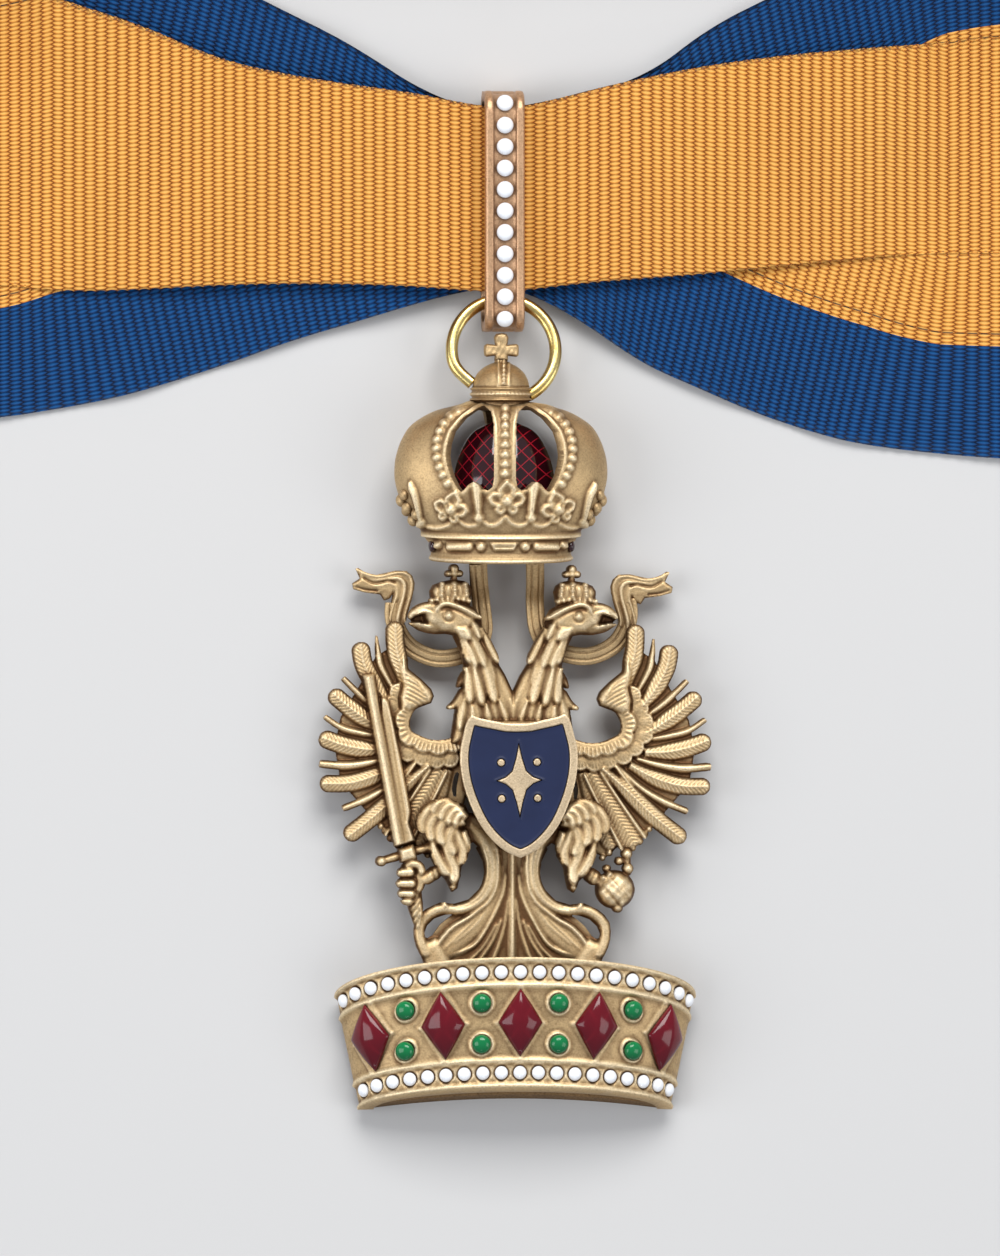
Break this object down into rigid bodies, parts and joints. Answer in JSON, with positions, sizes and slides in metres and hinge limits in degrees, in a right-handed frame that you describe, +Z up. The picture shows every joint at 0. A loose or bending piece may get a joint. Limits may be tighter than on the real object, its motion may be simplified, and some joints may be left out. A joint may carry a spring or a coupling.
{
  "type": "order neck badge",
  "caption": "Neck badge of an order on a wide folded ribbon: beaded bail and ring, enamelled crown, crowned double eagle with shield, and a hollow jewelled crown band.",
  "frame": {"origin": "middle of the whole piece's bounding box in X and Y, at the surface that it lies on", "axes": "+X to the right of the badge, +Y from the base crown up to the ribbon, +Z up from the surface, out of the badge's face"},
  "size_m": [0.185, 0.174, 0.0515],
  "materials": {
    "ribbon": "matte woven",
    "gilt_bronze": "matte",
    "dark_bronze": "satin",
    "brass": "polished",
    "white_enamel": "gloss",
    "red_enamel": "gloss",
    "blue_enamel": "gloss",
    "red_stone": "gloss",
    "green_stone": "gloss"
  },
  "bodies": {
    "root": {"neck_ribbon": "ribbon", "neck_clasp": "brass", "ribbon_bail": "dark_bronze", "bail_beads_white": "white_enamel", "jump_ring": "brass", "imperial_crown": "gilt_bronze", "crown_cap": "red_enamel", "strap_left": "gilt_bronze", "strap_right": "gilt_bronze", "eagle": "gilt_bronze", "shield": "gilt_bronze", "shield_enamel": "blue_enamel", "base_crown": "gilt_bronze", "upper_beads": "white_enamel", "lower_beads": "white_enamel", "red_lozenge_1": "red_stone", "red_lozenge_2": "red_stone", "red_lozenge_3": "red_stone", "red_lozenge_4": "red_stone", "red_lozenge_5": "red_stone", "green_stone_1": "green_stone", "green_stone_2": "green_stone", "green_stone_3": "green_stone", "green_stone_4": "green_stone", "green_stone_5": "green_stone", "green_stone_6": "green_stone", "green_stone_7": "green_stone", "green_stone_8": "green_stone"}
  },
  "joints": []
}
